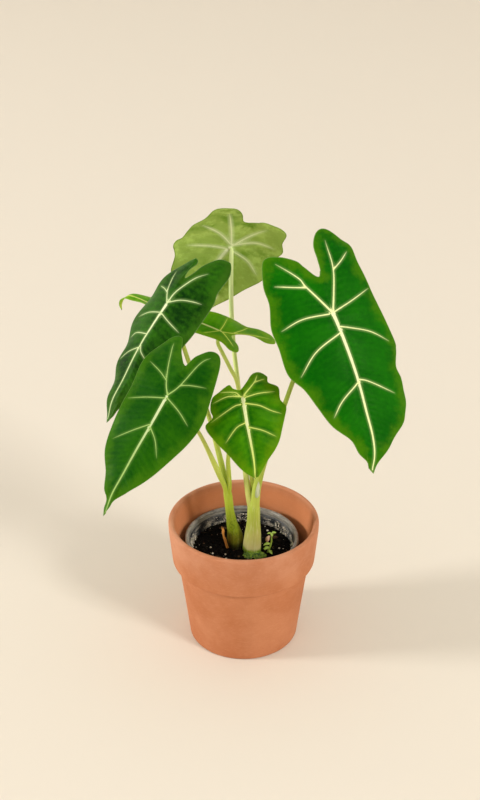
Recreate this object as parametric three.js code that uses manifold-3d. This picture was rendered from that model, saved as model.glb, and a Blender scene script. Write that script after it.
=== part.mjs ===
// A potted alocasia: two young plants in a nursery pot that stands loose inside a clay pot.
// Millimetres, +Z up. The origin is the centre of the clay pot's underside.
import * as THREE from "three";
import * as BufferGeometryUtils from "three/addons/utils/BufferGeometryUtils.js";
import { TessellateModifier } from "three/addons/modifiers/TessellateModifier.js";
import Module from "manifold-3d";

const wasm = await Module();
wasm.setup();

// ---- Driving dimensions -------------------------------------------------------------------
const GAP = 0.35; // clear space kept between pieces that touch

const CLAY = {
  height: 125,
  rimRadius: 70,
  rimInnerRadius: 65,
  collarFoot: 84, // height of the collar's lower edge
  collarFootRadius: 66.8,
  bodyTopRadius: 61.4,
  baseRadius: 51.5,
  floorTop: 8,
  floorRadius: 44,
  drainHoles: 3,
  drainRadius: 5.5,
  drainCircle: 22,
};

const NURSERY = {
  centreX: -1.7,
  foot: CLAY.floorTop + GAP,
  rimTop: 105.5,
  rimRadius: 53.2,
  rimInnerRadius: 49.4,
  rimDepth: 5.5,
  wallTopRadius: 48.4, // inside the wall, just under the rim's ledge
  wallFootRadius: 36.6,
  wall: 1.1,
  drainHoles: 6,
  drainRadius: 4,
  drainCircle: 25,
};

const SOIL_TOP = 93.5;
const BLADE_THICKNESS = 0.9;
const CURL_WIDTH = 45; // distance from the midrib over which a leaf's full curl builds up
const BLADE_EDGE = 19; // longest edge of a blade's facets
const LATHE_SIDES = 36;

// Every leaf lies on a bent surface of its own. heading is the way the tip points in plan, from
// +X towards +Y. drop is how far it points below the horizontal, roll turns the blade about its
// midrib, arch and back bend the blade in front of and behind the petiole, fold and curl bend
// the left and right halves away from the midrib. The outline goes from the tip round the left
// half, the left lobe, the notch, the right lobe and the right half, as [along, across].
const LEAVES = {
  back: {
    hub: [-11, 70, 368], heading: 151, drop: 50, roll: 52, length: 95, lobes: 44,
    arch: 20, back: 20, fold: [-6, -6], curl: [-10, -16],
    outline: [[95, -8], [72, 13], [49, 34], [29, 43], [20, 50], [13, 51], [7, 48], [-5, 50],
      [-16, 51], [-29, 46], [-44, 46], [-54, 43], [-63, 37], [-60, 30], [-50, 21], [-36, 10],
      [-36, 5], [-49, 2], [-52, -8], [-52, -16], [-56, -20], [-52, -25], [-39, -30], [-27, -38],
      [-10, -38], [14, -43], [44, -33], [67, -24], [82, -17]],
  },
  left: {
    hub: [-65.7, -2, 345], heading: -140, drop: 50, roll: -18, length: 115, lobes: 58,
    arch: 14, back: 20, fold: [-8, -22], curl: [-8, -26],
    outline: [[116, -2], [108, 2], [99, 4], [79, 12], [40, 27], [26, 31], [8, 35], [-18, 36],
      [-29, 34], [-47, 34], [-59, 28], [-60, 22], [-56, 15], [-45, 9], [-34, 6], [-27, 2],
      [-34, 0], [-44, 2], [-46, -3], [-41, -8], [-34, -16], [-26, -21], [-15, -26], [1, -31],
      [14, -35], [30, -36], [41, -33], [52, -28], [71, -25], [85, -19], [103, -13], [111, -8]],
  },
  front_left: {
    hub: [-63, -78, 297], heading: -131, drop: 42, roll: -14, length: 112, lobes: 52,
    arch: 12, back: 22, fold: [-4, -4], curl: [-14, -10],
    outline: [[112, -1], [104, 1], [96, 2], [86, 9], [72, 18], [45, 30], [12, 38], [-16, 33],
      [-42, 25], [-54, 17], [-53, 8], [-42, 2], [-30, -1], [-40, -12], [-54, -21], [-49, -31],
      [-25, -38], [0, -37], [25, -34], [52, -32], [79, -18], [91, -11], [98, -5], [106, -4]],
  },
  right: {
    hub: [73, -45, 356], heading: -63, drop: 55, roll: 8, length: 137, lobes: 70,
    arch: 14, back: 22, fold: [-4, -4], curl: [-14, -14],
    outline: [[137.5, 3], [131, 9], [124, 17], [107, 38], [96, 45], [87, 50], [76, 50], [66, 49],
      [55, 46], [42, 52], [33, 53], [7, 45], [-18, 42], [-38, 37], [-56, 38], [-64, 31],
      [-75, 19], [-73, 10], [-62, 3], [-48, 2], [-33, -2], [-44, -11], [-51, -16], [-59, -28],
      [-62, -38], [-57, -44], [-38, -49], [-20, -49], [0, -53], [18, -51], [41, -49], [56, -39],
      [72, -32], [91, -23], [106, -10], [118, -6], [126, -1], [132, 0]],
  },
  young: {
    hub: [-1, -60, 286], heading: -70, drop: 52, roll: 8, length: 71, lobes: 34,
    arch: 22, back: 75, fold: [8, -4], curl: [-22, -34],
    outline: [[71, -2], [63, 6], [54, 13], [42, 23], [33, 28], [23, 32], [15, 34], [8, 30],
      [-2, 31], [-8, 24], [-15, 25], [-22, 20], [-21, 13], [-13, 6], [-7, 0], [-9, -6],
      [-13, -9], [-10, -18], [-6, -26], [5, -30], [12, -29], [17, -36], [22, -36], [31, -31],
      [45, -23], [63, -10]],
  },
  middle: {
    hub: [-19.8, 20, 307.5], heading: 155, drop: -13, roll: 0, length: 113, lobes: 50,
    arch: 8, back: 26, fold: [10, -4], curl: [-13, -5], hook: { from: 0.82, bend: 130 },
    outline: [[113, 0], [94, 3], [78, 5], [55, 12], [32, 20], [8, 22], [-8, 18], [-19, 22],
      [-25, 18], [-20, 7], [-10, -1], [-13, -9], [-24, -20], [-36, -27], [-42, -38],
      [-35, -44], [-23, -38], [-12, -30], [2, -34], [14, -33], [34, -24], [58, -20], [82, -15],
      [100, -4]],
  },
};

// Petioles run from the top of their stem to the hub of their leaf, which their route leaves out.
const PETIOLES = {
  back: {
    stem: "right",
    route: [[6.6, -6.6, 147], [4.4, -6.6, 154], [2.2, -0.6, 171], [-1, 10, 203], [-5, 27, 250],
      [-8.6, 42, 277], [-11, 60, 306], [-11.5, 67, 334], [-11.2, 68, 358]],
    radii: [2.3, 2.2, 2.0, 2.0, 2.1, 2.0],
  },
  middle: {
    stem: "right",
    route: [[9.2, -3.8, 147], [8.8, -2.2, 154], [7.4, -3, 171], [2, -1, 209], [-5, 8, 259],
      [-12, 11, 276], [-19, 14.5, 290], [-23, 17, 299]],
    radii: [1.8, 1.9, 1.9, 1.9, 1.8, 1.6],
  },
  right: {
    stem: "right",
    route: [[10.2, -7.8, 147], [11.4, -8.4, 160], [13.2, -8.8, 171], [16, -9.8, 184],
      [22, -12, 206], [36, -20, 258], [43, -24, 284], [53, -30, 317], [66, -34.5, 344]],
    radii: [3.9, 3.2, 2.6, 2.3, 2.1, 2.0, 2.0, 1.9, 1.9],
  },
  left: {
    stem: "left",
    route: [[-15.4, 0.2, 156], [-20, 1, 182], [-25, 2, 205], [-32, 4, 234], [-48, 10, 281],
      [-53, 9, 299], [-60, 2, 326]],
    radii: [2.1, 2.1, 2.0, 2.0, 1.9, 1.8],
  },
  front_left: {
    stem: "left",
    route: [[-16, -3.4, 156], [-18, -5, 165], [-21, -7, 174], [-29, -15, 200], [-38, -28, 230],
      [-48, -45, 258], [-57, -63, 283]],
    radii: [1.9, 1.8, 1.7, 1.7, 1.6],
  },
  young: {
    stem: "left",
    route: [[-12.6, -2.6, 156], [-13.6, -6, 178], [-14, -12, 197], [-12, -24, 228],
      [-8, -40, 260], [-4, -51, 276]],
    radii: [1.6, 1.5, 1.5, 1.4, 1.4],
  },
};

// The two stems are rooted a little below the top of the soil.
const STEMS = {
  left: {
    route: [[-7, 2, 72], [-7.2, 1.6, 93], [-8, 1.2, 106], [-10.6, 0.6, 118], [-12.6, 0, 131],
      [-14, -0.8, 146], [-15.6, -1.8, 162]],
    radii: [4.5, 7.4, 7.4, 5.1, 3.9, 3.8, 4.6],
  },
  right: {
    route: [[7.4, -7, 68], [7.9, -7, 88], [8, -7, 98], [8.5, -7, 110], [9, -7, 124],
      [9.2, -7, 140], [9, -6.6, 154]],
    radii: [5, 8.2, 8.3, 7.4, 5.9, 5.6, 5.9],
  },
};

// ---- Helpers ------------------------------------------------------------------------------
const radians = THREE.MathUtils.degToRad;

function sealed(geometry) {
  geometry.deleteAttribute("normal");
  geometry.deleteAttribute("uv");
  const merged = BufferGeometryUtils.mergeVertices(geometry, 1e-3);
  merged.computeVertexNormals();
  return merged;
}

function mapVertices(geometry, move) {
  const position = geometry.getAttribute("position");
  const point = new THREE.Vector3();
  for (let i = 0; i < position.count; i += 1) {
    point.fromBufferAttribute(position, i);
    move(point);
    position.setXYZ(i, point.x, point.y, point.z);
  }
  return geometry;
}

function toSolid(geometry) {
  const merged = sealed(geometry.clone());
  return new wasm.Manifold(new wasm.Mesh({
    numProp: 3,
    vertProperties: new Float32Array(merged.getAttribute("position").array),
    triVerts: new Uint32Array(merged.getIndex().array),
  }));
}

function toGeometry(solid) {
  const mesh = solid.getMesh();
  const geometry = new THREE.BufferGeometry();
  geometry.setAttribute("position", new THREE.BufferAttribute(mesh.vertProperties, 3));
  geometry.setIndex(new THREE.BufferAttribute(mesh.triVerts, 1));
  geometry.computeVertexNormals();
  return geometry;
}

const cut = (solid, tools) => tools.reduce((rest, tool) => rest.subtract(toSolid(tool)), toSolid(solid));

// Upright plugs, evenly spaced on a circle, that cut a pot's drain holes.
function drainPlugs({ drainHoles, drainRadius, drainCircle }, height) {
  return Array.from({ length: drainHoles }, (_, i) => {
    const angle = (i / drainHoles) * 2 * Math.PI;
    return new THREE.CylinderGeometry(drainRadius, drainRadius, 24, 16)
      .rotateX(Math.PI / 2)
      .translate(drainCircle * Math.cos(angle), drainCircle * Math.sin(angle), height);
  });
}

// Points of a round corner in a profile, from one angle to another, in degrees.
function corner(x, y, radius, from, to, steps = 4) {
  return Array.from({ length: steps + 1 }, (_, i) => {
    const angle = radians(from + ((to - from) * i) / steps);
    return [x + radius * Math.cos(angle), y + radius * Math.sin(angle)];
  });
}

// A ring or a dish turned about the Z axis from [radius, height] points.
function turned(profile, sides = LATHE_SIDES) {
  const points = profile.map(([radius, height]) => new THREE.Vector2(radius, height));
  return new THREE.LatheGeometry(points, sides).rotateX(Math.PI / 2);
}

// A round tube along a route, with radii that are spread evenly over its length.
function taperedTube(route, radii, sides = 8, steps = 12, grow = 0) {
  const path = new THREE.CatmullRomCurve3(route.map((p) => new THREE.Vector3(...p)), false, "centripetal");
  const frames = path.computeFrenetFrames(steps);
  return mapVertices(new THREE.CylinderGeometry(1, 1, 1, sides, steps), (point) => {
    const step = Math.round((point.y + 0.5) * steps);
    const place = (step / steps) * (radii.length - 1);
    const before = Math.min(Math.floor(place), radii.length - 2);
    const radius = THREE.MathUtils.lerp(radii[before], radii[before + 1], place - before) + grow;
    const { x, z } = point;
    point.copy(path.getPointAt(step / steps))
      .addScaledVector(frames.normals[step], x * radius)
      .addScaledVector(frames.binormals[step], -z * radius);
  });
}

// Where a point of the flat blade lies on the bent leaf. along runs from the petiole towards the
// tip, across runs to the left of it, and height is above the middle of the blade's thickness.
function leafPoint(leaf, along, across, height) {
  const [heading, drop, roll] = [leaf.heading, leaf.drop, leaf.roll].map(radians);
  const ahead = new THREE.Vector3(
    Math.cos(heading) * Math.cos(drop), Math.sin(heading) * Math.cos(drop), -Math.sin(drop));
  const level = new THREE.Vector3(-Math.sin(heading), Math.cos(heading), 0);
  const left = level.clone().applyAxisAngle(ahead, roll);
  const upper = ahead.clone().cross(left);

  // The midrib is an arc, with a tighter one at the tip of a leaf that has a hook.
  const bend = along >= 0 ? radians(leaf.arch) / leaf.length : radians(leaf.back) / leaf.lobes;
  const hookStart = leaf.hook ? leaf.hook.from * leaf.length : Infinity;
  const arc = Math.min(along, hookStart);
  let turn = bend * arc;
  const rib = ahead.clone().multiplyScalar(Math.sin(turn) / bend)
    .addScaledVector(upper, (Math.cos(turn) - 1) / bend);
  if (along > hookStart) {
    const hookBend = bend + radians(leaf.hook.bend) / (leaf.length - hookStart);
    const end = turn + hookBend * (along - hookStart);
    rib.addScaledVector(ahead, (Math.sin(end) - Math.sin(turn)) / hookBend)
      .addScaledVector(upper, (Math.cos(end) - Math.cos(turn)) / hookBend);
    turn = end;
  }
  const normal = ahead.clone().multiplyScalar(Math.sin(turn)).addScaledVector(upper, Math.cos(turn));

  const side = across >= 0 ? 0 : 1;
  const sign = across >= 0 ? 1 : -1;
  const fold = radians(leaf.fold[side]);
  const curl = radians(leaf.curl[side]) / CURL_WIDTH;
  const slope = fold + curl * Math.abs(across);
  return new THREE.Vector3(...leaf.hub).add(rib)
    .addScaledVector(left, sign * (Math.sin(slope) - Math.sin(fold)) / curl)
    .addScaledVector(normal, (Math.cos(fold) - Math.cos(slope)) / curl)
    .addScaledVector(normal, height * Math.cos(slope))
    .addScaledVector(left, -sign * height * Math.sin(slope));
}

function blade(leaf, thickness = BLADE_THICKNESS, edge = BLADE_EDGE) {
  const points = leaf.outline.map(([along, across]) => new THREE.Vector2(along, across));
  const margin = new THREE.SplineCurve([...points, points[0]]).getPoints(points.length * 2);
  const flat = new THREE.ExtrudeGeometry(new THREE.Shape(margin.slice(0, -1)), {
    depth: thickness, bevelEnabled: false,
  });
  const fine = new TessellateModifier(edge, 10).modify(flat);
  return mapVertices(fine, (point) => {
    point.copy(leafPoint(leaf, point.x, point.y, point.z - thickness / 2));
  });
}

// An irregular lump: a ball whose surface is pushed in and out by slow waves.
function lump(sizes, centre, seed, detail = 1) {
  const [wide, deep, high] = sizes;
  const ball = sealed(new THREE.IcosahedronGeometry(0.5, detail));
  return mapVertices(ball, (point) => {
    const swell = 1 + 0.16 * Math.sin(5 * point.x + seed) * Math.cos(6 * point.y - 2 * seed)
      + 0.12 * Math.sin(7 * point.z + 3 * seed);
    point.set(
      centre[0] + point.x * swell * wide,
      centre[1] + point.y * swell * deep,
      centre[2] + point.z * swell * high);
  });
}

// ---- Pots and soil ------------------------------------------------------------------------
function clayPot() {
  const c = CLAY;
  const lip = (c.rimRadius - c.rimInnerRadius) / 2;
  const edge = 2.5;
  const shell = turned([
    [0, 0],
    ...corner(c.baseRadius - edge, edge, edge, -90, -10, 3),
    [c.bodyTopRadius, c.collarFoot - 3.5],
    ...corner(c.collarFootRadius - 2, c.collarFoot, 2, -70, 0, 3),
    [c.rimRadius, c.height - 8],
    ...corner(c.rimRadius - lip, c.height - lip, lip, 0, 180, 8),
    [c.rimInnerRadius - 6.4, c.collarFoot],
    ...corner(c.floorRadius - 1, c.floorTop + 5, 5, 0, -90, 3),
    [0, c.floorTop],
  ]);
  return toGeometry(cut(shell, drainPlugs(c, 0)));
}

// The nursery pot's inner radius at a height.
function nurseryInside(height) {
  const n = NURSERY;
  const rise = (height - n.foot - n.wall) / (n.rimTop - n.rimDepth - 3 - n.foot - n.wall);
  return THREE.MathUtils.lerp(n.wallFootRadius, n.wallTopRadius, rise);
}

function nurseryPot() {
  const n = NURSERY;
  const ledge = n.rimTop - n.rimDepth;
  const shell = turned([
    [0, n.foot],
    ...corner(n.wallFootRadius + n.wall - 1.5, n.foot + 1.5, 1.5, -90, -8, 2),
    [nurseryInside(ledge - 1) + n.wall, ledge - 1],
    [n.rimRadius - 0.8, ledge],
    [n.rimRadius, ledge + 0.8],
    ...corner(n.rimRadius - 1.6, n.rimTop - 1.6, 1.6, 0, 90, 3),
    ...corner(n.rimInnerRadius + 1.2, n.rimTop - 1.2, 1.2, 90, 180, 3),
    [n.rimInnerRadius, ledge - 1],
    [n.wallTopRadius, ledge - 3],
    [n.wallFootRadius, n.foot + n.wall],
    [0, n.foot + n.wall],
  ]);
  return toGeometry(cut(shell, drainPlugs(n, n.foot))).translate(n.centreX, 0, 0);
}

function pottingSoil() {
  const foot = NURSERY.foot + NURSERY.wall + GAP;
  const edge = SOIL_TOP - 1.6;
  const fill = turned([
    [0, foot],
    [nurseryInside(foot) - GAP, foot],
    [nurseryInside(edge) - GAP, edge],
    [nurseryInside(edge) - 4, SOIL_TOP - 0.6],
    [nurseryInside(edge) - 12, SOIL_TOP],
    [0, SOIL_TOP],
  ]).translate(NURSERY.centreX, 0, 0);
  const sockets = Object.values(STEMS).map((stem) => stemTube(stem, GAP));
  return toGeometry(cut(fill, sockets));
}

// A stem, or the space that it takes with some room all round it.
function stemTube({ route, radii }, room = 0) {
  const [foot, top] = [route[0], route[route.length - 1]];
  const longer = [[foot[0], foot[1], foot[2] - room], ...route.slice(1, -1), [top[0], top[1], top[2] + room]];
  return taperedTube(longer, radii, 12, 10, room);
}

// A petiole starts inside the top of its stem and ends in its blade. Both ends are cut to fit.
function petiole({ stem, route, radii }, leaf) {
  const ends = [stemTube(STEMS[stem], GAP), blade(leaf, BLADE_THICKNESS + 2 * GAP)];
  const pieces = cut(taperedTube([...route, leaf.hub], radii), ends).decompose();
  return toGeometry(pieces.sort((a, b) => b.volume() - a.volume())[0]);
}

// ---- Small things on the soil -------------------------------------------------------------
// A dry brown sheath that has come away from the left stem and leans outwards.
const DRY_SHEATH = {
  hub: [-15.8, -3.4, SOIL_TOP + 0.9], heading: 196, drop: -72, roll: 10, length: 24, lobes: 10,
  arch: -12, back: 5, fold: [24, 24], curl: [30, 30],
  outline: [[24, 0], [16, 1.6], [7, 2.4], [0, 2], [0, -2], [8, -2.4], [17, -1.4]],
};

// A thin papery sheath that wraps the foot of the right-hand petiole.
const PALE_SHEATH = {
  hub: [12.6, -13.2, 157], heading: -60, drop: -83, roll: 0, length: 17, lobes: 10,
  arch: -8, back: 5, fold: [12, 12], curl: [60, 60],
  outline: [[17, 0.5], [12, 1.8], [5, 2.6], [0, 2], [0, -2], [6, -2.4], [12, -1.2]],
};

// A weed seedling: a thin stalk and three seed leaves, grown as one piece.
function seedling() {
  const foot = SOIL_TOP + GAP;
  const stalk = toSolid(taperedTube(
    [[22.6, -8.8, foot], [25.6, -8.6, foot + 9], [25.8, -8, foot + 20]], [1.1, 0.8, 0.7], 8, 5));
  const leaf = (x, y, z, turn, tilt) => toSolid(
    lump([6, 4, 1.2], [2.6, 0, 0], turn)
      .rotateY(radians(tilt)).rotateZ(radians(turn)).translate(x, y, z));
  return toGeometry(stalk
    .add(leaf(25.8, -8, foot + 19.6, 10, -12))
    .add(leaf(25.8, -8, foot + 19.4, 190, -8))
    .add(leaf(25, -8.6, foot + 8, 190, -20))
    .add(leaf(23.6, -8.8, foot + 4, 215, -20)));
}

// Moss that has grown in a cushion in front of the right stem.
function mossPatch() {
  const foot = SOIL_TOP + GAP;
  const tufts = [[2.5, -16.4, 6.5, 4], [8, -17.6, 8, 5.2], [14.2, -16.6, 7, 4.4], [17.8, -14.8, 6.4, 3.6]]
    .map(([x, y, width, height], i) => toSolid(lump([width, width * 0.8, height], [x, y, foot + 0.8], i)));
  const patch = tufts.reduce((all, tuft) => all.add(tuft));
  const below = new THREE.BoxGeometry(60, 60, 20).translate(8, -16, foot - 10);
  const stem = stemTube(STEMS.right, GAP + 0.2);
  return toGeometry(patch.subtract(toSolid(below)).subtract(toSolid(stem)));
}

// Loose bits that lie on the soil, as [name, x, y, sizes, colour].
const LOOSE_BITS = [
  ["perlite_1", -29, -13, [2.0, 1.8, 1.5], "#d9d2c2"],
  ["perlite_2", -16.4, -22, [2.2, 2.0, 1.6], "#e0d9c8"],
  ["perlite_3", -31, -3.4, [1.8, 2.0, 1.4], "#d2c9b6"],
  ["perlite_4", 33.4, -4.8, [1.8, 1.6, 1.4], "#d8d1c0"],
  ["perlite_5", -17, -14.6, [2.0, 1.7, 1.4], "#cfc6b2"],
  ["perlite_6", 22.8, 24.6, [2.2, 1.8, 1.6], "#ddd5c4"],
  ["bark_chip_1", -24.6, -20.2, [7.5, 3.6, 2.2], "#6b4a30"],
  ["bark_chip_2", 29.5, 12.2, [6.2, 3.8, 2.4], "#7a5537"],
  ["bark_chip_3", -19.5, 28.4, [8.0, 3.4, 2.2], "#5d4029"],
];

// ---- The model ----------------------------------------------------------------------------
const group = new THREE.Group();

function addPiece(name, geometry, color, roughness) {
  const material = new THREE.MeshStandardMaterial({ color, roughness, metalness: 0 });
  const mesh = new THREE.Mesh(sealed(geometry), material);
  mesh.name = name;
  group.add(mesh);
}

addPiece("terracotta_pot", clayPot(), "#c9835c", 0.9);
addPiece("nursery_pot", nurseryPot(), "#55585a", 0.5);
addPiece("potting_soil", pottingSoil(), "#241a14", 1);
for (const [name, stem] of Object.entries(STEMS)) {
  addPiece(`stem_${name}`, stemTube(stem), "#a9b86a", 0.45);
}
for (const [name, shape] of Object.entries(PETIOLES)) {
  addPiece(`petiole_${name}`, petiole(shape, LEAVES[name]), "#8fae52", 0.4);
}
for (const [name, leaf] of Object.entries(LEAVES)) {
  addPiece(`leaf_${name}`, blade(leaf), "#1f6b1c", 0.4);
}
addPiece("dry_sheath", blade(DRY_SHEATH, 0.6, 6), "#a4622c", 0.8);
addPiece("pale_sheath", blade(PALE_SHEATH, 0.5, 6), "#c9d3b0", 0.6);
addPiece("seedling", seedling(), "#6fa53a", 0.5);
addPiece("seed_husk", lump([4.6, 3.6, 5.6], [22.4, -9.6, SOIL_TOP + 15.4], 2), "#c59a72", 0.7);
addPiece("moss_patch", mossPatch(), "#3f7a24", 0.95);
LOOSE_BITS.forEach(([name, x, y, sizes, color], i) => {
  const lift = SOIL_TOP + GAP + sizes[2] * 0.62;
  addPiece(name, lump(sizes, [x, y, lift], i), color, 0.9);
});

export default group;
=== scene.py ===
# %% [markdown]
# # A potted alocasia
#
# Two young alocasia plants share a thin plastic nursery pot, which stands loose inside a clay
# pot. The frame gives every piece its place and size. This file gives each one its fine shape
# and its finish: soft puckered leaves with pale veins, tapered stalks, matt clay, dusty plastic
# and dark crumbly soil.

import math
import random

import bmesh
import bpy
import numpy as np
from mathutils import Matrix, Vector, kdtree, noise


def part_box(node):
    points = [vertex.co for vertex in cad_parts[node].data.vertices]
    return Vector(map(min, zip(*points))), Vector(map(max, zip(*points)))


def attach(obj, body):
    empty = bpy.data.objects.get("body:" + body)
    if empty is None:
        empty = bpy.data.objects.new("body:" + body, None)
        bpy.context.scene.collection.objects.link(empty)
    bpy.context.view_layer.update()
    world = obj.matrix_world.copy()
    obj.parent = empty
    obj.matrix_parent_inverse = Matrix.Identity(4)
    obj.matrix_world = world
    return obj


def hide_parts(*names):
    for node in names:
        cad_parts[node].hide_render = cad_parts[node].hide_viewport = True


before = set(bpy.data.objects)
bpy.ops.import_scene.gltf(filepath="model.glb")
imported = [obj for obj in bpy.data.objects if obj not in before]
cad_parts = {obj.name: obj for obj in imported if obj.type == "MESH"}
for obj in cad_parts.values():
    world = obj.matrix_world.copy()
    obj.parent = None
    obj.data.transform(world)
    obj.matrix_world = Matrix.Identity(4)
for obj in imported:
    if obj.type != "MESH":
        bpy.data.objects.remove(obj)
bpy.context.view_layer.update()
MM = 0.001

# %% [markdown]
# ## Tools for materials and pieces
#
# Every material here is one Principled shader with a few noise patterns mixed into its colour,
# its roughness and its bump. The patterns read Object coordinates, or attributes that the shapes
# below write into their meshes, so that a pattern stays on its piece. Short functions make the
# shader nodes, so that each material reads as a list of what is seen on the real surface.

# %% Shader tools
def add(tree, kind, inputs=None, **settings):
    """Adds one shader node. An input is a plain value, or another node's output to link."""
    node = tree.nodes.new(kind)
    for name, value in settings.items():
        setattr(node, name, value)
    for name, value in (inputs or {}).items():
        if isinstance(value, bpy.types.NodeSocket):
            tree.links.new(value, node.inputs[name])
        else:
            node.inputs[name].default_value = value
    return node


def rgb(red, green, blue):
    return (red, green, blue, 1.0)


def material(name, **shader):
    """A new material with one Principled shader, and its node tree."""
    made = bpy.data.materials.new(name)
    made.use_nodes = True
    bsdf = made.node_tree.nodes["Principled BSDF"]
    for key, value in shader.items():
        bsdf.inputs[key.replace("_", " ").title().replace("Ior", "IOR")].default_value = value
    return made, made.node_tree, bsdf


def math_node(tree, operation, a, b=0.0, clamp=False):
    return add(tree, "ShaderNodeMath", {0: a, 1: b}, operation=operation, use_clamp=clamp).outputs[0]


def times(tree, a, b):
    return math_node(tree, "MULTIPLY", a, b)


def plus(tree, a, b, clamp=False):
    return math_node(tree, "ADD", a, b, clamp)


def minus(tree, a, b, clamp=False):
    return math_node(tree, "SUBTRACT", a, b, clamp)


def ramp(tree, value, low, high):
    """0 where value is at low and 1 where it is at high, whichever of them is larger."""
    return add(tree, "ShaderNodeMapRange", {0: value, 1: low, 2: high, 3: 0.0, 4: 1.0},
               interpolation_type="SMOOTHSTEP").outputs[0]


def spread(tree, value, low, high):
    """Low where a noise value is 0.3 and high where it is 0.7, in a straight line."""
    return add(tree, "ShaderNodeMapRange", {0: value, 1: 0.3, 2: 0.7, 3: low, 4: high}).outputs[0]


def mix(tree, factor, a, b):
    return add(tree, "ShaderNodeMix", {0: factor, 6: a, 7: b}, data_type="RGBA").outputs[2]


def attribute(tree, name):
    return add(tree, "ShaderNodeAttribute", attribute_name=name).outputs["Fac"]


def object_place(tree):
    return add(tree, "ShaderNodeTexCoord").outputs["Object"]


def object_height(tree):
    """Height above the floor in metres."""
    return add(tree, "ShaderNodeSeparateXYZ", {0: object_place(tree)}).outputs[2]


def object_noise(tree, scale, detail=4.0, roughness=0.55, stretch=(1, 1, 1)):
    """Noise in Object coordinates. Scale is in waves per metre. A stretch above 1 squeezes the
    pattern along its axis, and one below 1 draws it out."""
    place = add(tree, "ShaderNodeMapping", {"Vector": object_place(tree), "Scale": stretch}).outputs[0]
    return add(tree, "ShaderNodeTexNoise", {
        "Vector": place, "Scale": scale, "Detail": detail, "Roughness": roughness}).outputs["Fac"]


def bump(tree, bsdf, height, strength, distance, normal=None):
    inputs = {"Height": height, "Strength": strength, "Distance": distance}
    if normal:
        inputs["Normal"] = normal
    made = add(tree, "ShaderNodeBump", inputs).outputs[0]
    tree.links.new(made, bsdf.inputs["Normal"])
    return made


# %% Shape and piece tools
def arc(x, y, radius, start, end, steps=6):
    """Points of a round corner, with angles in degrees."""
    angles = np.radians(np.linspace(start, end, steps + 1))
    return [(x + radius * math.cos(a), y + radius * math.sin(a)) for a in angles]


def turned(profile, centre=(0, 0), steps=160, unit=MM):
    """Spins (radius, height) points about an upright axis into a skin with no seam."""
    bm = bmesh.new()
    verts = [bm.verts.new((r * unit, 0, z * unit)) for r, z in profile]
    edges = [bm.edges.new(pair) for pair in zip(verts, verts[1:])]
    bmesh.ops.spin(bm, geom=verts + edges, cent=(0, 0, 0), axis=(0, 0, 1), angle=2 * math.pi,
                   steps=steps, use_merge=True)
    bmesh.ops.remove_doubles(bm, verts=bm.verts, dist=1e-3 * unit)
    bmesh.ops.translate(bm, vec=(centre[0] * unit, centre[1] * unit, 0), verts=bm.verts)
    return bm


def object_from(name, bm, finish=None, smooth=True):
    """Turns a bmesh into an object, with its place in its mesh."""
    mesh = bpy.data.meshes.new(name)
    bm.to_mesh(mesh)
    bm.free()
    mesh.polygons.foreach_set("use_smooth", [smooth] * len(mesh.polygons))
    if finish:
        mesh.materials.append(finish)
    made = bpy.data.objects.new(name, mesh)
    bpy.context.collection.objects.link(made)
    return made


def finish_piece(name, bm, finish, nodes, smooth=True):
    """Turns a bmesh into a piece that rides on the one body and stands for the given CAD nodes."""
    bmesh.ops.recalc_face_normals(bm, faces=bm.faces)
    if bm.calc_volume(signed=True) < 0:
        bmesh.ops.reverse_faces(bm, faces=bm.faces)
    piece = object_from(name, bm, finish, smooth)
    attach(piece, "root")
    if nodes:
        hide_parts(*nodes)
    print(f"{name}: {len(piece.data.polygons)} faces")
    return piece


def node_box(node):
    """The lowest and the highest corner of a CAD node's box, in metres."""
    return [Vector(corner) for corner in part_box(node)]


def size_of(node):
    """A node's centre in plan, its radius, and its lowest and highest point, in millimetres."""
    low, high = (corner / MM for corner in node_box(node))
    return (low + high) / 2, (high.x - low.x) / 2, low.z, high.z


# %% [markdown]
# ## Camera, floor and light
#
# A long lens from a little over a metre away looks down on the plant, so that the pots' round
# rims show as open ovals and the upright lines stay nearly parallel. The floor bends up into a
# wall in a wide curve all round, like a big shallow bowl. It could be a plane with one curved
# wall, but a bowl has no corner or edge to see from any side. One soft light stands on the left
# and a higher one in front on the right. Each lights one side of the pot and casts a pale shadow
# to the other side, and an even, slightly warm light from all round fills the shadows.

# %% Camera
LENS = 63  # millimetres
CAMERA_PLACE = (-0.0034, -1.090, 0.844)  # metres
LOOKS_DOWN = 28.58  # degrees below the horizontal

camera = bpy.data.objects.new("camera", bpy.data.cameras.new("camera"))
bpy.context.collection.objects.link(camera)
camera.data.lens = LENS
camera.data.clip_start = 0.05
camera.location = CAMERA_PLACE
camera.rotation_euler = (math.radians(90 - LOOKS_DOWN), 0, 0)
bpy.context.scene.camera = camera
bpy.context.scene.view_settings.view_transform = "Standard"
print("camera:", CAMERA_PLACE, "lens", LENS)

# %% Backdrop and lights
BOWL_FLOOR, BOWL_BEND, BOWL_TOP = 5.5, 1.5, 5.0  # radius of the floor, of its bend, and height, in metres
WINDOW_COLOUR = (1.0, 0.985, 0.95)
WINDOWS = {  # place in metres, width in metres and power in watts
    "left_window": ((-6.3, -0.6, 2.6), 1.2, 268),
    "right_window": ((4.7, -4.3, 4.4), 1.5, 250),
}
LIT_POINT = Vector((0, 0, 0.2))  # where both lights point, half way up the object
WORLD_COLOUR, WORLD_STRENGTH = rgb(1.0, 0.975, 0.93), 0.665


def backdrop():
    """A round floor that bends up into a wall, in metres."""
    profile = [(0, 0), *arc(BOWL_FLOOR, BOWL_BEND, BOWL_BEND, -90, 0, 15), (BOWL_FLOOR + BOWL_BEND, BOWL_TOP)]
    paper, _, _ = material("backdrop_paper", base_color=rgb(0.79, 0.728, 0.632), roughness=0.9)
    object_from("backdrop", turned(profile, steps=96, unit=1.0), paper)


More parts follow.
